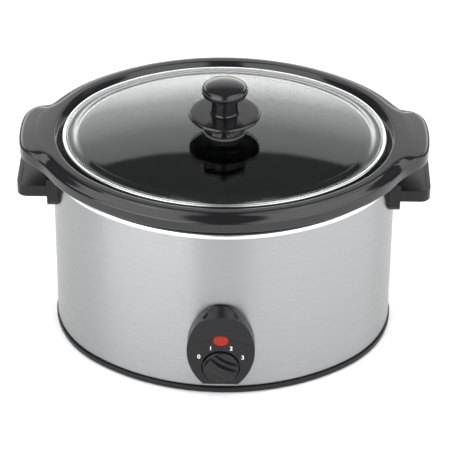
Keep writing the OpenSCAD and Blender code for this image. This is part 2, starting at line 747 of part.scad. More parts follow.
module knob_washer() color("#c4c6c8") difference() {
    union() {
        translate([0, 0, glass_under - seal_t - steel_washer_t]) cylinder(r = washer_r, h = steel_washer_t);
        translate([0, 0, glass_under - seal_t - steel_washer_t]) cylinder(r = spigot_r, h = boss_z + 1 - glass_under + seal_t + steel_washer_t);
    }
    cylinder(r = knob_screw_r, h = 400);
}

module knob_screw() color("#c4c6c8") {
    z0 = glass_under - seal_t - steel_washer_t;
    translate([0, 0, z0]) cylinder(r = knob_screw_r, h = guard_top + neck_h - 1 - z0);
    translate([0, 0, z0 - 2.6]) cylinder(r = 4.6, h = 2.6);
}

module placed() translate([0, centre_y, 0]) children();

placed() rubber_feet();
placed() base_plate();
placed() outer_shell();
placed() inner_liner();
placed() heater_band();
placed() band_springs();
placed() heater_tabs();
placed() heat_shield();
placed() tie_stud();
placed() tie_spacer();
placed() tie_spring();
placed() tie_nut();
placed() thermal_fuse();
placed() fuse_clip();
placed() left_handle();
placed() right_handle();
placed() handle_screws();
placed() handle_washers();
placed() panel_lower_cover();
placed() panel_visor_cover();
placed() panel_screws();
placed() switch_bracket();
placed() switch_body();
placed() switch_nut();
placed() switch_tabs();
placed() indicator_lens();
placed() neon_lamp();
placed() neon_holder();
placed() terminal_block();
placed() terminal_screws();
placed() internal_leads();
placed() cord_gland();
placed() gland_nut();
placed() dial_knob();
placed() switch_shaft();
placed() switch_cam();
placed() shaft_clip();
placed() stoneware_crock();
placed() lid_glass();
placed() lid_rim();
placed() knob_grip();
placed() knob_guard();
placed() knob_seal();
placed() knob_lower_seal();
placed() knob_washer();
placed() knob_screw();
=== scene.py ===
import math

import bmesh
import bpy
import numpy as np
from mathutils import Matrix, Vector


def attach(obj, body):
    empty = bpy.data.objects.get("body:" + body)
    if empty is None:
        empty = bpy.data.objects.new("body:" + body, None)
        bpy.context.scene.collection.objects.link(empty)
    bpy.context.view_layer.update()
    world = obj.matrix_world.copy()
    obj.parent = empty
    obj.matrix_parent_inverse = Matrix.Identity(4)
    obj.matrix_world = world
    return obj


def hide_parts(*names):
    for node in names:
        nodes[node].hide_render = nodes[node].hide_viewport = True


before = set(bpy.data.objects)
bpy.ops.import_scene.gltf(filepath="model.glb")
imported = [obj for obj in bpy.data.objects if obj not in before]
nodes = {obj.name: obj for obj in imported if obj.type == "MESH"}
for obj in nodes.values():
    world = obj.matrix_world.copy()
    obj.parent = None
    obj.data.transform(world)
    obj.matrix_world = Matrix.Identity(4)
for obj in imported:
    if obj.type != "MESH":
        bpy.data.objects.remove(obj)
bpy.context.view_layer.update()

# ---- Camera ----
# It looks down on the cooker's front at 34 degrees, through a long lens.
# The target is near the middle of the housing, and the view rolls by under half a degree.
AIM = Vector((0.0012, 0.0015, 0.1030))
CAMERA_TURN, CAMERA_RISE, CAMERA_ROLL = math.radians(0.74), math.radians(34.0), math.radians(0.446)
CAMERA_DISTANCE, FOCAL_MM, SENSOR_MM, SIGHT_LIMIT = 2.4502, 199.67, 36.0, 50.0
back = Vector((math.sin(CAMERA_TURN) * math.cos(CAMERA_RISE),
               -math.cos(CAMERA_TURN) * math.cos(CAMERA_RISE), math.sin(CAMERA_RISE)))
lens = bpy.data.cameras.new("camera")
lens.lens, lens.sensor_width, lens.clip_end = FOCAL_MM, SENSOR_MM, SIGHT_LIMIT
camera = bpy.data.objects.new("camera", lens)
camera.location = AIM + back * CAMERA_DISTANCE
camera.rotation_mode = "QUATERNION"
camera_roll = Matrix.Rotation(CAMERA_ROLL, 3, "Z").to_quaternion()
camera.rotation_quaternion = (-back).to_track_quat("-Z", "Y") @ camera_roll
bpy.context.scene.collection.objects.link(camera)
bpy.context.scene.camera = camera
bpy.context.scene.view_settings.view_transform = "Standard"
bpy.context.scene.view_settings.look = "None"

# ---- Table top ----
# A wide, matt white board that the cooker stands on. It glows a little, so that it stays
# white round the cooker.
TABLE_HALF, TABLE_DROP, SAME_POINT = 8, 0.0001, 1e-6


def plain_finish(name, colour, rough=0.5, metal=0.0, **sockets):
    """A Principled material of one colour. Extra sockets are given by name with _ for a space."""
    made = bpy.data.materials.new(name)
    made.use_nodes = True
    shader = made.node_tree.nodes["Principled BSDF"]
    shader.inputs["Base Color"].default_value = (*colour, 1.0)
    shader.inputs["Roughness"].default_value = rough
    shader.inputs["Metallic"].default_value = metal
    for key, value in sockets.items():
        shader.inputs[key.replace("_", " ")].default_value = value
    return made


def sheet_mesh(name, points, wrap_u=False, wrap_v=False, caps=False, smooth_angle=35.0):
    """A mesh from a grid of points, u by v by 3: quads join each point to the next in u and in v,
    a wrapped direction joins its last row to its first, and caps close the first and last u rows."""
    rows, cols = points.shape[:2]
    index = np.arange(rows * cols).reshape(rows, cols)
    if wrap_u:
        index = np.vstack([index, index[:1]])
    if wrap_v:
        index = np.hstack([index, index[:, :1]])
    quads = np.stack([index[:-1, :-1], index[:-1, 1:], index[1:, 1:], index[1:, :-1]], -1).reshape(-1, 4)
    faces = quads.tolist()
    if caps:
        faces += [np.arange(cols)[::-1].tolist(), (np.arange(cols) + (rows - 1) * cols).tolist()]
    mesh = bpy.data.meshes.new(name)
    mesh.from_pydata(points.reshape(-1, 3).tolist(), [], faces)
    outward = bmesh.new()
    outward.from_mesh(mesh)
    bmesh.ops.remove_doubles(outward, verts=outward.verts, dist=SAME_POINT)
    bmesh.ops.recalc_face_normals(outward, faces=outward.faces)
    outward.to_mesh(mesh)
    outward.free()
    mesh.polygons.foreach_set("use_smooth", np.ones(len(mesh.polygons), bool))
    mesh.set_sharp_from_angle(angle=math.radians(smooth_angle))
    mesh.update()
    return mesh


def place(name, mesh, material):
    """Links a mesh as an object at the origin, with one material."""
    made = bpy.data.objects.new(name, mesh)
    bpy.context.scene.collection.objects.link(made)
    mesh.materials.append(material)
    return made


TABLE_WHITE = plain_finish("table_white", (0.85, 0.85, 0.85), rough=0.9,
                           Emission_Color=(1, 1, 1, 1), Emission_Strength=0.08)
grid = np.linspace(-TABLE_HALF, TABLE_HALF, 3)
table_x, table_y = np.meshgrid(grid, grid, indexing="ij")
table_points = np.stack([table_x, table_y, 0 * table_x - TABLE_DROP], -1)
table = place("table_top", sheet_mesh("table_top", table_points), TABLE_WHITE)

# ---- Lamps and room light ----
# Soft rectangular lamps: a pair overhead and one on each side of the front. The room itself
# adds a weak even light.
COOKER_MIDDLE = (0, 0, 0.15)
ROOM_GLOW = 0.2


def lamp(name, at, aim, width, height, watts):
    """A soft rectangular lamp at a point, facing another, in metres and watts."""
    data = bpy.data.lights.new(name, "AREA")
    data.shape = "RECTANGLE"
    data.size, data.size_y, data.energy = width, height, watts
    made = bpy.data.objects.new(name, data)
    made.location = at
    made.rotation_mode = "QUATERNION"
    made.rotation_quaternion = (Vector(aim) - Vector(at)).to_track_quat("-Z", "Y")
    made.visible_camera = False
    bpy.context.scene.collection.objects.link(made)


for side in (-1, 1):
    lamp("overhead_lamp", (side * 1.2, -0.4, 2.5), (side * 1.2, -0.4, 0), width=1.7, height=3.2, watts=40)
lamp("left_lamp", (-1.10, -1.27, 0.80), COOKER_MIDDLE, width=1.75, height=1.5, watts=33)
lamp("right_lamp", (1.42, -0.93, 0.80), COOKER_MIDDLE, width=3.3, height=1.5, watts=40)

world = bpy.data.worlds.new("studio_air")
world.use_nodes = True
world.node_tree.nodes["Background"].inputs["Color"].default_value = (1, 1, 1, 1)
world.node_tree.nodes["Background"].inputs["Strength"].default_value = ROOM_GLOW
bpy.context.scene.world = world

# ---- Back screen ----
# A tall curved screen behind the cooker, seen only as a reflection. It is brightest in a band
# near the middle of its height. Its brightness follows height less SCREEN_BOW times x squared,
# so that the bands rise towards the sides.
SCREEN_RADIUS, SCREEN_TOP, SCREEN_BOW, SCREEN_GLOW = 1.25, 1.35, 0.7, 5.0
SCREEN_FROM, SCREEN_TO, SCREEN_STEPS = 48, 132, 25
SCREEN_FOOT_LEVEL, SCREEN_TOP_LEVEL = 0.16, 0.03
SCREEN_LEVELS = ((0.36, 0.2), (0.42, 1.0), (0.54, 0.95), (0.62, 0.42), (0.72, 0.2), (0.796, 0.16),
                 (0.808, 0.03))
screen_turn = np.radians(np.linspace(SCREEN_FROM, SCREEN_TO, SCREEN_STEPS))[None, :]
screen_rise = np.linspace(0.0, SCREEN_TOP, 3)[:, None]
screen_points = np.stack([SCREEN_RADIUS * np.cos(screen_turn) + 0 * screen_rise,
                          SCREEN_RADIUS * np.sin(screen_turn) + 0 * screen_rise,
                          screen_rise + 0 * screen_turn], -1)
screen_glow = bpy.data.materials.new("screen_glow")
screen_glow.use_nodes = True
tree = screen_glow.node_tree
tree.nodes.remove(tree.nodes["Principled BSDF"])
glow = tree.nodes.new("ShaderNodeEmission")
height_ramp = tree.nodes.new("ShaderNodeValToRGB")
height_scale = tree.nodes.new("ShaderNodeMapRange")
height_scale.inputs["From Max"].default_value = SCREEN_TOP
split = tree.nodes.new("ShaderNodeSeparateXYZ")
where = tree.nodes.new("ShaderNodeTexCoord")
tree.links.new(where.outputs["Object"], split.inputs["Vector"])
across = tree.nodes.new("ShaderNodeMath")
across.operation = "MULTIPLY"
bowed = tree.nodes.new("ShaderNodeMath")
bowed.operation = "MULTIPLY_ADD"
bowed.inputs[1].default_value = -SCREEN_BOW
tree.links.new(split.outputs["X"], across.inputs[0])
tree.links.new(split.outputs["X"], across.inputs[1])
tree.links.new(across.outputs["Value"], bowed.inputs[0])
tree.links.new(split.outputs["Z"], bowed.inputs[2])
tree.links.new(bowed.outputs["Value"], height_scale.inputs["Value"])
tree.links.new(height_scale.outputs["Result"], height_ramp.inputs["Fac"])
tree.links.new(height_ramp.outputs["Color"], glow.inputs["Color"])
tree.links.new(glow.outputs["Emission"], tree.nodes["Material Output"].inputs["Surface"])
glow.inputs["Strength"].default_value = SCREEN_GLOW
ramp = height_ramp.color_ramp
ramp.elements[0].position, ramp.elements[0].color = 0.0, (*[SCREEN_FOOT_LEVEL] * 3, 1)
ramp.elements[1].position, ramp.elements[1].color = 1.0, (*[SCREEN_TOP_LEVEL] * 3, 1)
for spot, level in SCREEN_LEVELS:
    ramp.elements.new(spot).color = (level, level, level, 1)
screen = place("back_screen", sheet_mesh("back_screen", screen_points), screen_glow)
screen.visible_camera = False

# ---- Housing sleeve ----
# One sheet of brushed stainless steel, wrapped into an oval, with its top and bottom edges
# rolled inwards. Its grain runs round the sleeve. The oval is two end arcs and two side arcs:
# C is how far an arc's centre lies from the middle and R is its radius, both in mm.
MM = 0.001
CENTRE_Y = 1.5
END_C, SIDE_C, END_R, SIDE_R = 45.82, 53.99, 119.18, 189.99
END_HALF = math.atan2(SIDE_C, END_C)
SHELL_Z, SHELL_TOP, HEM_R, SHELL_T, WALL_MIDDLE = 7.0, 183.0, 3.0, 0.7, 90


def oval_turns(end_steps=48, side_steps=64):
    """Outward directions round the four-arc oval, in radians: close together round the ends."""
    end = np.linspace(-END_HALF, END_HALF, end_steps, endpoint=False)
    side = np.linspace(END_HALF, math.pi - END_HALF, side_steps, endpoint=False)
    return np.concatenate([end, side, end + math.pi, side + math.pi])


def on_end_arc(turn):
    """Whether a direction meets an end arc: its cosine is no smaller than that of the arc's half angle."""
    return np.abs(np.cos(turn)) >= math.cos(END_HALF) - 1e-9


def oval_at(turn, grow):
    """The oval's point whose outward direction is turn, grown by grow, in mm. On an end arc it is the
    end centre plus radius times direction, and on a side arc the side centre plus radius times direction."""
    on_end = on_end_arc(turn)
    x_side, y_side = np.sign(np.cos(turn)), np.sign(np.sin(turn))
    x = np.where(on_end, x_side * END_C + (END_R + grow) * np.cos(turn), (SIDE_R + grow) * np.cos(turn))
    y = np.where(on_end, (END_R + grow) * np.sin(turn), (SIDE_R + grow) * np.sin(turn) - y_side * SIDE_C)
    return np.stack([x, y], -1)


def oval_loft(section, turns=None):
    """Points of a section of (growth, height) pairs in mm carried round the oval, in metres."""
    turns = oval_turns() if turns is None else turns
    section = np.asarray(section, float)
    flat = oval_at(turns[None, :], section[:, 0][:, None])
    height = np.broadcast_to(section[:, 1][:, None, None], (*flat.shape[:2], 1))
    return np.concatenate([flat + [0, CENTRE_Y], height], -1) * MM


def arc(x, z, r, start, end, steps=8):
    """Points on an arc about (x, z), from start to end degrees."""
    turn = np.radians(np.linspace(start, end, steps + 1))
    return np.stack([x + r * np.cos(turn), z + r * np.sin(turn)], -1)


def grain(material, scale, strength, distance, detail=4.0, turn_rough=None):
    """Adds a fine bump: noise on Object coordinates, stretched by scale along each axis. turn_rough, a
    pair, lets the same noise also move the roughness between two values."""
    tree = material.node_tree
    shader = tree.nodes["Principled BSDF"]
    place_on = tree.nodes.new("ShaderNodeTexCoord")
    stretch = tree.nodes.new("ShaderNodeMapping")
    stretch.inputs["Scale"].default_value = scale
    noise = tree.nodes.new("ShaderNodeTexNoise")
    noise.inputs["Scale"].default_value = 1.0
    noise.inputs["Detail"].default_value = detail
    bump = tree.nodes.new("ShaderNodeBump")
    bump.inputs["Strength"].default_value = strength
    bump.inputs["Distance"].default_value = distance
    tree.links.new(place_on.outputs["Object"], stretch.inputs["Vector"])
    tree.links.new(stretch.outputs["Vector"], noise.inputs["Vector"])
    tree.links.new(noise.outputs["Fac"], bump.inputs["Height"])
    tree.links.new(bump.outputs["Normal"], shader.inputs["Normal"])
    if turn_rough:
        spread = tree.nodes.new("ShaderNodeMapRange")
        spread.inputs["To Min"].default_value, spread.inputs["To Max"].default_value = turn_rough
        tree.links.new(noise.outputs["Fac"], spread.inputs["Value"])
        tree.links.new(spread.outputs["Result"], shader.inputs["Roughness"])


BRUSHED_STEEL = plain_finish("brushed_steel", (0.335, 0.338, 0.342), rough=0.28, metal=1.0,
                             Anisotropic=0.95, Anisotropic_Rotation=0.25)
grain(BRUSHED_STEEL, (9, 9, 2600), strength=0.10, distance=0.00002, detail=3.0, turn_rough=(0.25, 0.31))
tree = BRUSHED_STEEL.node_tree
along = tree.nodes.new("ShaderNodeTangent")
along.direction_type, along.axis = "RADIAL", "Z"
tree.links.new(along.outputs["Tangent"], tree.nodes["Principled BSDF"].inputs["Tangent"])

sleeve_section = np.vstack([arc(-HEM_R, SHELL_Z + HEM_R, HEM_R, -90, 0), [[0, WALL_MIDDLE]],
                            arc(-HEM_R, SHELL_TOP - HEM_R, HEM_R, 0, 90),
                            arc(-HEM_R, SHELL_TOP - HEM_R, HEM_R - SHELL_T, 90, 0),
                            arc(-HEM_R, SHELL_Z + HEM_R, HEM_R - SHELL_T, 0, -90)])
sleeve_mesh = sheet_mesh("steel_sleeve", oval_loft(sleeve_section), True, True)
sleeve = place("steel_sleeve", sleeve_mesh, BRUSHED_STEEL)
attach(sleeve, "housing")
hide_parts("outer_shell")

# ---- Liner and its rolled rim ----
# A deep-drawn well of thin steel that holds the crock. Its bright rim folds down over the
# top of the sleeve and covers the sleeve's edge.
FLANGE_Z, FLANGE_R, LINER_GAP, LINER_TAPER, LINER_FLOOR, LINER_T = 183.6, 2.2, 7.0, 17.0, 26.0, 0.6
LINER_HEEL, FLOOR_REACH = 4, 60
ROLLED_STEEL = plain_finish("rolled_steel", (0.66, 0.665, 0.67), rough=0.3, metal=1.0)
grain(ROLLED_STEEL, (40, 40, 900), strength=0.06, distance=0.00002, turn_rough=(0.24, 0.34))


def liner_grow(z):
    """Growth of the liner wall at height z: it leans in evenly from the top to the floor."""
    return -LINER_GAP - LINER_TAPER * (SHELL_TOP - z) / (SHELL_TOP - LINER_FLOOR)


floor_edge, heel = liner_grow(LINER_FLOOR), liner_grow(LINER_FLOOR + LINER_HEEL)
hem_foot = SHELL_TOP - HEM_R
liner_section = np.vstack([
    [[floor_edge - FLOOR_REACH, LINER_FLOOR - LINER_T], [floor_edge - 4, LINER_FLOOR - LINER_T],
     [heel, LINER_FLOOR + LINER_HEEL], [-LINER_GAP - 1, SHELL_TOP - 4], [-LINER_GAP, SHELL_TOP],
     [-0.4, SHELL_TOP + 0.05], [0.15, SHELL_TOP - 0.5], [0.2, hem_foot - 1], [0.55, hem_foot - 1.2],
     [0.9, hem_foot - 0.8]],
    arc(0.9 - FLANGE_R, FLANGE_Z - FLANGE_R, FLANGE_R, 0, 90, 6),
    [[-LINER_GAP - LINER_T, FLANGE_Z], [-LINER_GAP - LINER_T - 1, SHELL_TOP - 4],
     [heel - LINER_T, LINER_FLOOR + LINER_HEEL + 0.3], [floor_edge - 5, LINER_FLOOR],
     [floor_edge - FLOOR_REACH, LINER_FLOOR]]])
liner_mesh = sheet_mesh("liner_well", oval_loft(liner_section), False, True, True)
liner = place("liner_well", liner_mesh, ROLLED_STEEL)
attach(liner, "housing")
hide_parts("inner_liner")

# ---- Base ----
# A shallow moulded tray of black plastic that closes the housing from below. It stands out
# round the sleeve as a thin rim, and a tongue on it fits inside the sleeve's rolled edge.
BASE_Z, BASE_OUT, BASE_FLOOR, BASE_TOP, BASE_LOW_R, BASE_HIGH_R = 1.5, 1.4, 4.0, 6.5, 1.2, 0.7
TONGUE_OUT, TONGUE_IN, TONGUE_TOP, TONGUE_CORNER = -HEM_R - 0.2, -HEM_R - 2, SHELL_Z + 6, 0.4
BLACK_PLASTIC = plain_finish("black_plastic", (0.011, 0.011, 0.012), rough=0.26,
                             IOR=1.5, Specular_IOR_Level=0.2)
grain(BLACK_PLASTIC, (900, 900, 900), strength=0.08, distance=0.00008, turn_rough=(0.2, 0.3))
base_section = np.vstack([
    [[-FLOOR_REACH, BASE_FLOOR], [-6, BASE_FLOOR], [-3.4, BASE_FLOOR], [-3, BASE_FLOOR - 0.4],
     [-3, BASE_Z + 0.3], [-2.7, BASE_Z], [BASE_OUT - 1.6, BASE_Z]],
    arc(BASE_OUT - BASE_LOW_R, BASE_Z + BASE_LOW_R, BASE_LOW_R, -70, 0, 5),
    arc(BASE_OUT - BASE_HIGH_R, SHELL_Z - BASE_HIGH_R, BASE_HIGH_R, 0, 90, 4),
    [[TONGUE_OUT, SHELL_Z], [TONGUE_OUT, TONGUE_TOP - TONGUE_CORNER],
     [TONGUE_OUT - TONGUE_CORNER, TONGUE_TOP], [TONGUE_IN + TONGUE_CORNER, TONGUE_TOP],
     [TONGUE_IN, TONGUE_TOP - TONGUE_CORNER], [TONGUE_IN, BASE_TOP], [-FLOOR_REACH, BASE_TOP]]])
base_mesh = sheet_mesh("base_tray", oval_loft(base_section), False, True, True)
base = place("base_tray", base_mesh, BLACK_PLASTIC)
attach(base, "housing")
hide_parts("base_plate")

# ---- Rubber feet ----
# Four moulded rubber feet that push into the base from below and keep the cooker off the
# table.
FOOT_RUBBER = plain_finish("foot_rubber", (0.02, 0.02, 0.02), rough=0.8)
grain(FOOT_RUBBER, (700, 700, 700), strength=0.3, distance=0.0001)


def coat(material, *names):
    """Gives one material to pieces that keep their own shape."""
    for name in names:
        nodes[name].data.materials.clear()
        nodes[name].data.materials.append(material)


coat(FOOT_RUBBER, "rubber_feet")

# ---- Side handles ----
# Each handle is one phenolic moulding: a saddle plate screwed to the sleeve from inside and a
# hollow grip that stands out from it.
SHARP_ANGLE, FLAT_ANGLE, SAME_PLACE = math.radians(28), math.radians(1.2), 2e-6


def softened(node, name, material, round_mm, segments, weight=None):
    """A copy of a CAD node with its doubles merged, its flat faces joined and its edges rounded by a
    bevel of round_mm. weight, a function of an edge's middle, gives each edge its share of the rounding."""
    mesh = nodes[node].data.copy()
    mesh.name = name
    mesh.materials.clear()
    work = bmesh.new()
    work.from_mesh(mesh)
    bmesh.ops.remove_doubles(work, verts=work.verts, dist=SAME_PLACE)
    bmesh.ops.dissolve_limit(work, angle_limit=FLAT_ANGLE, verts=work.verts, edges=work.edges)
    if weight:
        layer = work.edges.layers.float.new("bevel_weight_edge")
        for edge in work.edges:
            edge[layer] = weight((edge.verts[0].co + edge.verts[1].co) / 2 / MM, edge)
    work.to_mesh(mesh)
    work.free()
    mesh.polygons.foreach_set("use_smooth", np.ones(len(mesh.polygons), bool))
    made = place(name, mesh, material)
    bevel = made.modifiers.new("rounded_edges", "BEVEL")
    bevel.width, bevel.segments = round_mm * MM, segments
    bevel.limit_method = "WEIGHT" if weight else "ANGLE"
    bevel.angle_limit = SHARP_ANGLE
    bevel.use_clamp_overlap = True
    bevel.miter_outer = "MITER_ARC"
    bevel.harden_normals = False
    made.modifiers.new("even_shading", "WEIGHTED_NORMAL").keep_sharp = True
    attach(made, "housing")
    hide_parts(node)


for side in ("left", "right"):
    softened(side + "_handle", side + "_handle_moulding", BLACK_PLASTIC, round_mm=1.1, segments=3)

# ---- Cord gland ----
# The gland where the cord comes in, low on the back, in the same black plastic. A nut of that
# plastic holds it from inside.
softened("cord_gland", "cord_gland_moulding", BLACK_PLASTIC, round_mm=0.5, segments=2)
coat(BLACK_PLASTIC, "gland_nut")

# ---- Control panel covers ----
# Two glossy charcoal mouldings make one egg-shaped panel. They part along an arc, the outer
# edge is rounded over, and the upper one slopes back to the sleeve as a visor.
FACE_Y, DIAL_Z, PANEL_HALF_W = -147.0, 40.2, 32.3
FLANK_R, WIDE_Z, LOW_Z = 55.1, DIAL_Z + 17.8, DIAL_Z - 20.7
CROWN_Z, CROWN_R, CROWN_FROM = DIAL_Z + 44.5, 20.0, 12
FACE_DEPTH, FACE_SLACK, OUTLINE_SLACK, SMALL_EDGE_SHARE = 3, 0.3, 0.4, 0.36
PANEL_PLASTIC = plain_finish("panel_plastic", (0.008, 0.008, 0.009), rough=0.2,
                             IOR=1.5, Specular_IOR_Level=0.24)
grain(PANEL_PLASTIC, (1200, 1200, 1200), strength=0.04, distance=0.00005, turn_rough=(0.16, 0.22))


def panel_inset(x, z):
    """How far a point in the panel's face lies inside the egg-shaped outline, in mm: the least of its
    distances to the flank arc, to the crown arc where that one bounds the face, and to the flat foot."""
    flank = FLANK_R - math.hypot(abs(x) + FLANK_R - PANEL_HALF_W, z - WIDE_Z)
    crown = CROWN_R - math.hypot(x, z - CROWN_Z) if z > CROWN_Z + CROWN_FROM else math.inf
    return min(flank, crown, z - LOW_Z)


def panel_rounding(middle, edge):
    """Full rounding on the face's outer edge, about a third on other sharp edges of the front, else none."""
    if len(edge.link_faces) != 2 or edge.calc_face_angle(0.0) < SHARP_ANGLE:
        return 0.0
    y = middle.y - CENTRE_Y
    if abs(y - FACE_Y) < FACE_SLACK and panel_inset(middle.x, middle.z) < OUTLINE_SLACK:
        return 1.0
    return SMALL_EDGE_SHARE if y < FACE_Y + FACE_DEPTH else 0.0


for node in ("panel_lower_cover", "panel_visor_cover"):
    softened(node, node + "_moulding", PANEL_PLASTIC, round_mm=1.9, segments=4,
             weight=panel_rounding)

# ---- Dial ----
# A dark moulded knob pushed on the switch shaft. A grip bar crosses its face, and a thumb
# scoop with fine ribs is cut into the bar's upper side.
DIAL_R, DIAL_FACE_Y, DIAL_BACK_Y, DIAL_EDGE_R = 17.0, -149.4, -142.5, 0.9
GRIP_RISE, GRIP_HALF_W, GRIP_TURN = 4.6, 6.3, math.radians(-30)
UPPER_SOFT, LOWER_SOFT, FADE_INSET, FADE_SOFT = 0.7, 0.6, 1.5, 0.35
SCOOP_IN, SCOOP_HALF, SCOOP_DEPTH, SCOOP_WIDTH, BACK_BOW = 4.0, 15.0, 3.0, 3.2, 0.6
RIB_PITCH, RIB_RISE, RIB_SHIFT, RIB_WIDTH = 2.5, 0.4, 0.2, 1.3
DIAL_MIDDLE, DIAL_SPOKES, DIAL_RINGS = 0.02, 240, 84
DIAL_PLASTIC = plain_finish("dial_plastic", (0.007, 0.007, 0.008), rough=0.22,
                            IOR=1.5, Specular_IOR_Level=0.3)
grain(DIAL_PLASTIC, (1200, 1200, 1200), strength=0.06, distance=0.00006, turn_rough=(0.2, 0.28))


def soft_step(distance, blend):
    """A step from nought to one at nought: half of one plus tanh of distance over blend."""
    return 0.5 + 0.5 * np.tanh(distance / blend)


def dial_rise(x, z):
    """Height of the dial's face in mm, in a frame turned with the bar. It is the bar's rise times a soft
    step at each side, less a soft hollow on the upper side, plus ribs that fade out off the flank. The
    upper side is drawn in by the scoop depth times the cosine of the place along the bar."""
    run = x * math.cos(GRIP_TURN) + z * math.sin(GRIP_TURN)
    over = -x * math.sin(GRIP_TURN) + z * math.cos(GRIP_TURN)
    bow = np.where(np.abs(run) < SCOOP_HALF, np.cos(np.pi * run / 2 / SCOOP_HALF), 0.0)
    upper = GRIP_HALF_W - SCOOP_IN * bow
    bar = soft_step(upper - over, UPPER_SOFT) * soft_step(over + GRIP_HALF_W - BACK_BOW * bow, LOWER_SOFT)
    hollow = SCOOP_DEPTH * np.exp(-((over - upper - SCOOP_WIDTH) / SCOOP_WIDTH) ** 2) * bow
    rib_wave = RIB_RISE * np.cos(2 * np.pi * run / RIB_PITCH)
    ribs = rib_wave * np.exp(-((over - upper - RIB_SHIFT) / RIB_WIDTH) ** 2) * bow
    return GRIP_RISE * bar - hollow + ribs


dial_turn = np.linspace(0, 2 * np.pi, DIAL_SPOKES, endpoint=False)[None, :]
dial_ring = np.linspace(DIAL_MIDDLE, DIAL_R - DIAL_EDGE_R, DIAL_RINGS)[:, None]
face_x, face_z = dial_ring * np.cos(dial_turn), dial_ring * np.sin(dial_turn)
inside = soft_step(DIAL_R - FADE_INSET - np.hypot(face_x, face_z), FADE_SOFT)
dial_front = np.stack([face_x, DIAL_FACE_Y - dial_rise(face_x, face_z) * inside, face_z], -1)
dial_depth = DIAL_BACK_Y - DIAL_FACE_Y
rim_section = np.vstack([arc(DIAL_R - DIAL_EDGE_R, DIAL_EDGE_R, DIAL_EDGE_R, -75, 0, 5),
                         [[DIAL_R, dial_depth], [DIAL_MIDDLE, dial_depth]]])
dial_side = np.stack([rim_section[:, :1] * np.cos(dial_turn),
                      DIAL_FACE_Y + rim_section[:, 1:2] + 0 * dial_turn,
                      rim_section[:, :1] * np.sin(dial_turn)], -1)
dial_points = (np.concatenate([dial_front, dial_side]) + [0, CENTRE_Y, DIAL_Z]) * MM
dial = place("dial_moulding", sheet_mesh("dial_moulding", dial_points, False, True, True, 50), DIAL_PLASTIC)
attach(dial, "dial")
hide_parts("dial_knob")

# ---- Heat marks ----
# White numerals pad-printed on the lower cover round the dial. 0 is off, and 1 to 3 are the
# heats.
MARKS = {"0": (-20.7, 51.6), "1": (-9.6, 61.6), "2": (9.8, 61.6), "3": (20.8, 51.2)}
MARK_HEIGHT, TYPE_PER_HEIGHT, HALF_INK, INK_LIFT = 4.8, 1.35, 0.03, 0.04
MARK_WHITE = plain_finish("mark_white", (0.9, 0.9, 0.88), rough=0.5)
grain(MARK_WHITE, (2000, 2000, 2000), strength=0.1, distance=0.00002)
upright = Matrix.Rotation(math.pi / 2, 4, "X")
for mark, (x, z) in MARKS.items():
    letters = bpy.data.curves.new("heat_mark_" + mark, "FONT")
    letters.body, letters.size, letters.extrude = mark, MARK_HEIGHT * MM * TYPE_PER_HEIGHT, HALF_INK * MM
    letters.align_x, letters.align_y = "CENTER", "CENTER"
    source = bpy.data.objects.new("mark_source", letters)
    bpy.context.scene.collection.objects.link(source)
    bpy.context.view_layer.update()
    mesh = bpy.data.meshes.new_from_object(source.evaluated_get(bpy.context.evaluated_depsgraph_get()))
    bpy.data.objects.remove(source)
    mesh.transform(Matrix.Translation((x * MM, (FACE_Y + CENTRE_Y - INK_LIFT) * MM, z * MM)) @ upright)
    made = place("heat_mark_" + mark, mesh, MARK_WHITE)
    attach(made, "housing")

# ---- Indicator lens ----
# A moulded oval lens of clear red plastic, crowned a little. It sits in both covers, in front
# of the neon lamp. A faint red glow is painted into it as light of its own.
LENS_Z, LENS_HALF_W, LENS_HALF_H = DIAL_Z + 30.8, 7.45, 5.65
LENS_OUT, LENS_BACK, LENS_SQUARENESS, LENS_SPOKES = 1.5, 6.4, 2.1, 72
# The emission is a painted glow: the neon lamp behind the lens gives no light in the scene.
LENS_RED_AND_PAINTED_GLOW = plain_finish("lens_red", (0.21, 0.014, 0.006), rough=0.12, IOR=1.5, Specular_IOR_Level=0.2,
                        Emission_Color=(0.8, 0.05, 0.02, 1), Emission_Strength=0.05)
grain(LENS_RED_AND_PAINTED_GLOW, (300, 300, 900), strength=0.12, distance=0.0001, detail=2.0)
lens_turn = np.linspace(0, 2 * np.pi, LENS_SPOKES, endpoint=False)[None, :]
# Each pair is a share of the half width and the depth behind the crown there, in mm.
lens_profile = np.array([[0.0, 0.02], [0.55, 0.0], [0.85, 0.16], [0.95, 0.5], [0.985, 1.0], [1.0, 1.6],
                         [1.0, LENS_BACK], [0.0, LENS_BACK]])
share, depth = lens_profile[:, :1], lens_profile[:, 1:]
round_x, round_z = np.cos(lens_turn), np.sin(lens_turn)
squared = (np.abs(round_x) ** LENS_SQUARENESS + np.abs(round_z) ** LENS_SQUARENESS) ** (-1 / LENS_SQUARENESS)
lens_points = np.stack([share * squared * round_x * LENS_HALF_W,
                        FACE_Y - LENS_OUT + depth + CENTRE_Y + 0 * lens_turn,
                        LENS_Z + share * squared * round_z * LENS_HALF_H], -1) * MM
lens_mesh = sheet_mesh("indicator_lens_moulding", lens_points, False, True)
lens_piece = place("indicator_lens_moulding", lens_mesh, LENS_RED_AND_PAINTED_GLOW)
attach(lens_piece, "housing")
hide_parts("indicator_lens")

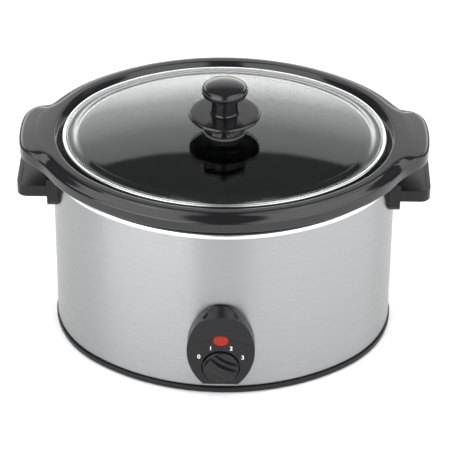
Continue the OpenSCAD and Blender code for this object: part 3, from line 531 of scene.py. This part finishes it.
# ---- Crock ----
# Slip-cast stoneware under a black gloss glaze. Its heavy rim overhangs the sleeve, grows
# into a broad ear at each end, and has a rebate inside where the lid sits.
SEAT_Z, LIP_OUT, LIP_TOP, LEDGE_Z = 183.9, 15.0, 210.9, 203.9
CROCK_Z, CROCK_WALL, CROCK_FLOOR, CROCK_GAP, CROCK_REACH = 30.0, 6.0, 8.0, 2.4, 80
EAR_REACH, EAR_W, EAR_CORNER, EAR_FILLET, EAR_LIFT, EAR_RUN = 192.0, 97.0, 6, 11, 4.3, 11.5
LEAST_SINE = 0.01
BLACK_GLAZE = plain_finish("black_glaze", (0.006, 0.006, 0.007), rough=0.10, IOR=1.5)
grain(BLACK_GLAZE, (60, 60, 60), strength=0.05, distance=0.0004, detail=2.0, turn_rough=(0.08, 0.14))


def soft_least(a, b, power):
    """The smaller of two lengths, with the corner between them rounded: each is raised to minus the
    power, and their sum to minus one over the power."""
    return (a ** -power + b ** -power) ** (-1 / power)


def soft_most(a, b, power):
    """The larger of two lengths, with the corner between them rounded: each is raised to the power,
    and their sum to one over the power."""
    return (a ** power + b ** power) ** (1 / power)


def ear_push(turn):
    """How far the ears carry the rim out in a direction: the soft larger of the plain rim and of the
    ear, which is itself the soft smaller of its reach and its half width seen from the end centre."""
    reach = np.sqrt(EAR_REACH ** 2 - (END_C * np.sin(turn)) ** 2) - END_C * np.abs(np.cos(turn))
    width = EAR_W / 2 / np.maximum(np.abs(np.sin(turn)), LEAST_SINE)
    push = soft_most(soft_least(reach, width, EAR_CORNER), END_R + LIP_OUT, EAR_FILLET) - END_R - LIP_OUT
    return np.where(on_end_arc(turn), push, 0.0)


def rounded(section, rounds=2):
    """Corner cutting: each straight run keeps its points at a quarter and three quarters, so every
    corner becomes a short curve. The two end points stay."""
    for _ in range(rounds):
        near = 0.75 * section[:-1] + 0.25 * section[1:]
        far = 0.25 * section[:-1] + 0.75 * section[1:]
        cut = np.stack([near, far], 1).reshape(-1, section.shape[1])
        section = np.vstack([section[:1], cut, section[-1:]])
    return section


def crock_grow(z):
    """Growth of the crock's outside at height z: the liner's inner face less an even gap."""
    return liner_grow(z) - LINER_T - CROCK_GAP


def bowl_grow(z):
    """Growth of the crock's inside at height z: its outside less an even wall."""
    return crock_grow(z) - CROCK_WALL


# Each row is growth and height in mm, then the shares of the ear's push and of its lift there.
# The rows run from the middle of the underside out and up, over the lip, and down inside.
BOWL_FLOOR, BODY_Z = CROCK_Z + CROCK_FLOOR, 100
crock_section = rounded(np.array([
    [-CROCK_REACH, CROCK_Z, 0, 0], [crock_grow(CROCK_Z) - 9, CROCK_Z, 0, 0],
    [crock_grow(CROCK_Z) - 3, CROCK_Z + 0.3, 0, 0], [crock_grow(CROCK_Z + 5), CROCK_Z + 5, 0, 0],
    [crock_grow(CROCK_Z + 14), CROCK_Z + 14, 0, 0], [crock_grow(BODY_Z), BODY_Z, 0, 0],
    [crock_grow(SEAT_Z - 3), SEAT_Z - 3, 0, 0], [crock_grow(SEAT_Z), SEAT_Z, 0, 0],
    [-3, SEAT_Z, 0, 0], [-1.5, SEAT_Z, 0, 0], [-0.6, SEAT_Z + 4, 0, 0], [0.4, SEAT_Z + 7.6, 0, 0],
    [5.5, SEAT_Z + 9.6, 0.6, 0.4], [11.5, SEAT_Z + 11, 1, 0.6], [14.4, SEAT_Z + 11.4, 1, 0.6],
    [LIP_OUT, SEAT_Z + 12.6, 1, 0.6], [LIP_OUT, SEAT_Z + 16, 1, 0.7], [LIP_OUT, LIP_TOP - 8, 1, 0.85],
    [14.9, LIP_TOP - 6, 1, 1], [14.2, LIP_TOP - 5, 1, 1], [12.8, LIP_TOP - 4.2, 0.97, 0.96],
    [9.4, LIP_TOP - 2.9, 0.92, 0.66], [7.0, LIP_TOP - 1.9, 0.86, 0.43], [6.2, LIP_TOP - 0.9, 0.82, 0.2],
    [5.4, LIP_TOP - 0.15, 0.76, 0.02], [4.2, LIP_TOP, 0.6, 0], [1, LIP_TOP - 0.09, 0.12, 0],
    [-1.6, LIP_TOP - 0.16, 0, 0], [-2.6, LIP_TOP - 0.3, 0, 0], [-3.4, LIP_TOP - 1.2, 0, 0],
    [-6.5, LIP_TOP - 4.6, 0, 0], [-8.3, LEDGE_Z + 1, 0, 0], [-8.9, LEDGE_Z + 0.15, 0, 0],
    [-10, LEDGE_Z, 0, 0], [-14, LEDGE_Z, 0, 0], [-15, LEDGE_Z - 1, 0, 0],
    [bowl_grow(LEDGE_Z - 8), LEDGE_Z - 8, 0, 0], [bowl_grow(BODY_Z), BODY_Z, 0, 0],
    [bowl_grow(BOWL_FLOOR + 16), BOWL_FLOOR + 16, 0, 0],
    [bowl_grow(BOWL_FLOOR + 6) - 2, BOWL_FLOOR + 5, 0, 0],
    [bowl_grow(BOWL_FLOOR) - 9, BOWL_FLOOR, 0, 0], [-CROCK_REACH, BOWL_FLOOR, 0, 0]], float))
crock_turns = oval_turns(96, 72)
push = ear_push(crock_turns)
risen = np.minimum(1, push / EAR_RUN)
lift = EAR_LIFT * risen ** 2 * (3 - 2 * risen)
crock_flat = oval_at(crock_turns[None, :], crock_section[:, :1] + crock_section[:, 2:3] * push[None, :])
crock_height = crock_section[:, 1:2] + crock_section[:, 3:4] * lift[None, :]
crock_points = np.concatenate([crock_flat + [0, CENTRE_Y], crock_height[..., None]], -1) * MM
crock_mesh = sheet_mesh("stoneware_crock_glazed", crock_points, False, True, True, 50)
crock = place("stoneware_crock_glazed", crock_mesh, BLACK_GLAZE)
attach(crock, "crock")
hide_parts("stoneware_crock")

# ---- Lid glass ----
# One pane of clear tempered glass with a flat edge, a shallow bend inside it and a low dome,
# with a hole in the middle for the knob's screw.
RIM_OUT, RIM_W, LID_Z, RIM_H = -9.6, 3.6, 204.2, 4.6
GLASS_Z, GLASS_T, GLASS_RISE = LID_Z + 0.4, 4.0, 4.0
GLASS_EDGE, EDGE_INSET = RIM_OUT - 0.6, 0.15
FLANGE_IN, BEND_IN = GLASS_EDGE - 9, GLASS_EDGE - 16
GLASS_TOP, HOLE_R, DOME_FALL, RING_COUNT = GLASS_Z + GLASS_T + GLASS_RISE, 6.0, 2.9, 25
CLEAR_GLASS = plain_finish("clear_glass", (0.93, 0.97, 0.96), rough=0.0, IOR=1.5, Transmission_Weight=1.0)
grain(CLEAR_GLASS, (12, 12, 12), strength=0.0, distance=0.00001, detail=0.0, turn_rough=(0.0, 0.02))


def dome_rings(lift, shares):
    """Rings of the dome: the bend's own oval drawn in to a share of itself, and blended to the round
    hole in the middle. Height falls from the crown with the share squared."""
    turns = oval_turns()
    outer = oval_at(turns, BEND_IN)
    hole = HOLE_R * np.stack([np.cos(turns), np.sin(turns)], -1)
    share = np.asarray(shares)[:, None, None]
    flat = outer * share + hole * (1 - share)
    height = GLASS_TOP - DOME_FALL * share ** 2 + lift
    height = np.broadcast_to(height, (*flat.shape[:2], 1))
    return np.concatenate([flat + [0, CENTRE_Y], height], -1) * MM


bend_top, bend_low = GLASS_TOP - DOME_FALL, GLASS_TOP - DOME_FALL - GLASS_T
flat_top = GLASS_Z + GLASS_T
glass_points = np.concatenate([
    dome_rings(0.0, np.linspace(0, 1, RING_COUNT)),
    oval_loft([[BEND_IN + 1.5, bend_top - 0.12], [BEND_IN + 3.2, bend_top - 0.42],
               [FLANGE_IN - 2, bend_top - 0.85], [FLANGE_IN, flat_top + 0.05], [FLANGE_IN + 2, flat_top],
               [GLASS_EDGE - 0.6, flat_top], [GLASS_EDGE - EDGE_INSET, flat_top - 0.3],
               [GLASS_EDGE - EDGE_INSET, GLASS_Z + 0.3], [GLASS_EDGE - 0.6, GLASS_Z],
               [FLANGE_IN + 2, GLASS_Z], [FLANGE_IN, GLASS_Z + 0.05], [FLANGE_IN - 2, bend_low - 0.85],
               [BEND_IN + 3.2, bend_low - 0.42], [BEND_IN + 1.5, bend_low - 0.12]]),
    dome_rings(-GLASS_T, np.linspace(1, 0, RING_COUNT))])
pane = place("lid_pane", sheet_mesh("lid_pane", glass_points, True, True, smooth_angle=60), CLEAR_GLASS)
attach(pane, "lid")
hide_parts("lid_glass")

# ---- Lid band ----
# A thin channel of polished stainless steel. It is rolled round the edge of the glass, and
# grips it.
BAND_CORNER_R, BAND_CURL_R, BAND_FOOT_R = 1.2, 1.0, 0.5
BRIGHT_STEEL = plain_finish("bright_steel", (0.58, 0.585, 0.59), rough=0.22, metal=1.0)
grain(BRIGHT_STEEL, (500, 500, 500), strength=0.1, distance=0.00003, turn_rough=(0.18, 0.28))
band_in, band_top = RIM_OUT - RIM_W, LID_Z + RIM_H
band_section = np.vstack([
    [[band_in, flat_top + 0.05], [band_in, band_top - 0.2]],
    arc(band_in + 1.4, band_top - BAND_CURL_R, BAND_CURL_R, 120, 92, 3),
    arc(RIM_OUT - BAND_CORNER_R, band_top - BAND_CORNER_R, BAND_CORNER_R, 85, 0, 7),
    arc(RIM_OUT - BAND_FOOT_R, LID_Z + BAND_FOOT_R, BAND_FOOT_R, 0, -90, 4),
    [[GLASS_EDGE, LID_Z], [GLASS_EDGE, flat_top + 0.05]]])
band = place("lid_band", sheet_mesh("lid_band", oval_loft(band_section), True, True), BRIGHT_STEEL)
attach(band, "lid")
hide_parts("lid_rim")

# ---- Knob heat guard ----
# The lower of the knob's two phenolic mouldings: a broad round plate on a boss, which keeps
# fingers off the hot glass. One screw from below holds it and the grip.
GUARD_TOP, GUARD_R, GUARD_T, BOSS_R, NECK_R, BORE_R = 233.3, 34.5, 4.0, 19.6, 13.2, 5.9
BOSS_Z, GUARD_LOW = GLASS_TOP + 1.2, GUARD_TOP - GUARD_T
KNOB_BLACK = plain_finish("knob_black", (0.007, 0.007, 0.008), rough=0.12, IOR=1.5)
grain(KNOB_BLACK, (90, 90, 90), strength=0.04, distance=0.0002, detail=2.0, turn_rough=(0.1, 0.17))


def turned(profile, steps=128):
    """A profile of (radius, height) pairs in mm turned round the knob's axis, in metres."""
    turn = np.linspace(0, 2 * np.pi, steps, endpoint=False)[None, :]
    radius, height = profile[:, :1], profile[:, 1:2]
    return np.stack([radius * np.cos(turn), radius * np.sin(turn) + CENTRE_Y, height + 0 * turn], -1) * MM


guard_profile = rounded(np.array([
    [BORE_R, BOSS_Z + 0.8], [BORE_R, BOSS_Z], [BOSS_R - 1, BOSS_Z], [BOSS_R, BOSS_Z + 0.4],
    [BOSS_R, BOSS_Z + 2.2], [BOSS_R - 0.6, BOSS_Z + 5], [BOSS_R - 1.2, GUARD_LOW - 1.5],
    [BOSS_R + 0.4, GUARD_LOW], [GUARD_R - 2.4, GUARD_LOW], [GUARD_R - 0.7, GUARD_LOW + 0.4],
    [GUARD_R, GUARD_LOW + 1.3], [GUARD_R, GUARD_TOP - 1.3], [GUARD_R - 0.7, GUARD_TOP - 0.35],
    [GUARD_R - 2.2, GUARD_TOP], [NECK_R + 4, GUARD_TOP], [NECK_R - 4, GUARD_TOP - 0.02],
    [BORE_R, GUARD_TOP - 0.02]], float))
guard_mesh = sheet_mesh("knob_guard_moulding", turned(guard_profile), True, True)
guard = place("knob_guard_moulding", guard_mesh, KNOB_BLACK)
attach(guard, "lid")
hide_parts("knob_guard")

# ---- Knob grip ----
# The upper phenolic moulding: a waisted neck that stands on the guard, under a broad cap with
# a rolled edge and a low dome.
CAP_Z, CAP_R, CAP_EDGE, CAP_RISE, SHANK_R, KNOB_MIDDLE = 252.8, 22.0, 7.5, 2.8, 2.6, 0.02
CAP_SHOULDER = CAP_Z + CAP_EDGE
grip_profile = rounded(np.array([
    [SHANK_R, GUARD_TOP + 0.01], [NECK_R + 0.2, GUARD_TOP + 0.01], [NECK_R + 0.8, GUARD_TOP + 0.3],
    [NECK_R + 0.8, GUARD_TOP + 1.2], [NECK_R + 0.1, GUARD_TOP + 1.8], [NECK_R, GUARD_TOP + 3],
    [NECK_R - 0.4, CAP_Z - 5], [NECK_R - 0.1, CAP_Z - 2], [NECK_R + 1.4, CAP_Z - 0.7],
    [CAP_R - 3.4, CAP_Z], [CAP_R - 0.9, CAP_Z + 0.9], [CAP_R, CAP_Z + 2.6], [CAP_R - 0.1, CAP_Z + 5.4],
    [CAP_R - 0.8, CAP_SHOULDER], [CAP_R - 2.2, CAP_SHOULDER + 1.2], [CAP_R - 4.6, CAP_SHOULDER + 1.8],
    [CAP_R * 0.6, CAP_SHOULDER + CAP_RISE * 0.83], [CAP_R * 0.3, CAP_SHOULDER + CAP_RISE * 0.96],
    [KNOB_MIDDLE, CAP_SHOULDER + CAP_RISE]], float))
grip_mesh = sheet_mesh("knob_grip_moulding", turned(grip_profile), False, True, True)
grip = place("knob_grip_moulding", grip_mesh, KNOB_BLACK)
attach(grip, "lid")
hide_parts("knob_grip")

# ---- Zinc-plated fixings ----
# Mild steel with a zinc plate: the central stud with its spacer and nut, the screws and
# washers of the handles and the panel, the switch's nut, two clips and the pressed bracket.


def worn_finish(name, colour, rough, metal, scale):
    """A finish with a fine bump, whose roughness swings from 0.85 to 1.2 times its own value."""
    made = plain_finish(name, colour, rough, metal)
    grain(made, scale, strength=0.1, distance=0.00005, turn_rough=(rough * 0.85, rough * 1.2))
    return made


ZINC_PLATE = worn_finish("zinc_plate", (0.55, 0.56, 0.58), rough=0.35, metal=1.0, scale=(150, 150, 150))
coat(ZINC_PLATE, "tie_stud", "tie_spacer", "tie_nut", "handle_screws", "handle_washers",
     "panel_screws", "switch_nut", "shaft_clip", "fuse_clip", "switch_bracket")

# ---- Springs ----
# Coiled spring-steel wire. Two springs join the ends of the heater band and pull it tight,
# and one sits on the central stud.
SPRING_WIRE = worn_finish("spring_wire", (0.42, 0.43, 0.45),
                          rough=0.3, metal=1.0, scale=(300, 300, 900))
coat(SPRING_WIRE, "band_springs", "tie_spring")

# ---- Heater band ----
# A flat steel strip wrapped round the liner, with the heating wire folded into it. Heat has
# turned the steel a dull brown.
HEATER_STEEL = worn_finish("heater_steel", (0.36, 0.33, 0.29),
                           rough=0.5, metal=1.0, scale=(60, 60, 500))
coat(HEATER_STEEL, "heater_band")

# ---- Heat shield ----
# A flat oval sheet of mill-finish aluminium between the liner and the base. The central stud
# runs through it and holds it.
MILL_ALUMINIUM = worn_finish("mill_aluminium", (0.78, 0.79, 0.8),
                             rough=0.4, metal=1.0, scale=(20, 900, 20))
coat(MILL_ALUMINIUM, "heat_shield")

# ---- Brass terminals ----
# Flat tabs stamped from brass, fixed to the heater band and the switch, and the brass screws
# that clamp the leads in the terminal block.
STAMPED_BRASS = worn_finish("stamped_brass", (0.72, 0.52, 0.22),
                            rough=0.35, metal=1.0, scale=(200, 200, 200))
coat(STAMPED_BRASS, "heater_tabs", "switch_tabs", "terminal_screws")

# ---- Thermal fuse ----
# A small cylinder of glazed ceramic with the fuse link inside. A clip holds it at the heater,
# where it feels the heat.
GLAZED_CERAMIC = worn_finish("glazed_ceramic", (0.82, 0.8, 0.74),
                             rough=0.25, metal=0.0, scale=(200, 200, 200))
coat(GLAZED_CERAMIC, "thermal_fuse")

# ---- Switch, lamp holder and terminal block ----
# Cream heat-resistant mouldings: the rotary switch with its shaft and cam, the holder of the
# neon lamp, and the block whose terminals join the cord to the leads.
CREAM_MOULDING = worn_finish("cream_moulding", (0.74, 0.69, 0.58),
                             rough=0.45, metal=0.0, scale=(500, 500, 500))
coat(CREAM_MOULDING, "switch_body", "switch_cam", "neon_holder", "terminal_block", "switch_shaft")

# ---- Neon lamp ----
# A small bulb of thin blown glass. It sits in a moulded holder behind the red lens and lights
# while the cooker is on.
LAMP_GLASS = worn_finish("lamp_glass", (0.9, 0.62, 0.4), rough=0.1, metal=0.0, scale=(100, 100, 100))
coat(LAMP_GLASS, "neon_lamp")

# ---- Internal leads ----
# Wires in red silicone sleeving, which stands the heat. They start in the terminal block and
# run along the base; what would join them to the switch and the heater isn't modelled.
SILICONE_SLEEVE = worn_finish("silicone_sleeve", (0.5, 0.06, 0.03),
                              rough=0.5, metal=0.0, scale=(300, 300, 300))
coat(SILICONE_SLEEVE, "internal_leads")

# ---- Knob seals ----
# Two moulded rings of dark silicone, one above the glass and one below it. The knob's screw
# clamps them.
SILICONE_SEAL = worn_finish("silicone_seal", (0.11, 0.11, 0.11),
                            rough=0.5, metal=0.0, scale=(300, 300, 300))
coat(SILICONE_SEAL, "knob_seal", "knob_lower_seal")

# ---- Knob screw and washer ----
# A turned screw and a washer of bright steel, put in from under the glass. They hold the knob
# to the lid.
LID_FIXING_STEEL = worn_finish("lid_fixing_steel", (0.8, 0.81, 0.82),
                               rough=0.2, metal=1.0, scale=(200, 200, 200))
coat(LID_FIXING_STEEL, "knob_washer", "knob_screw")
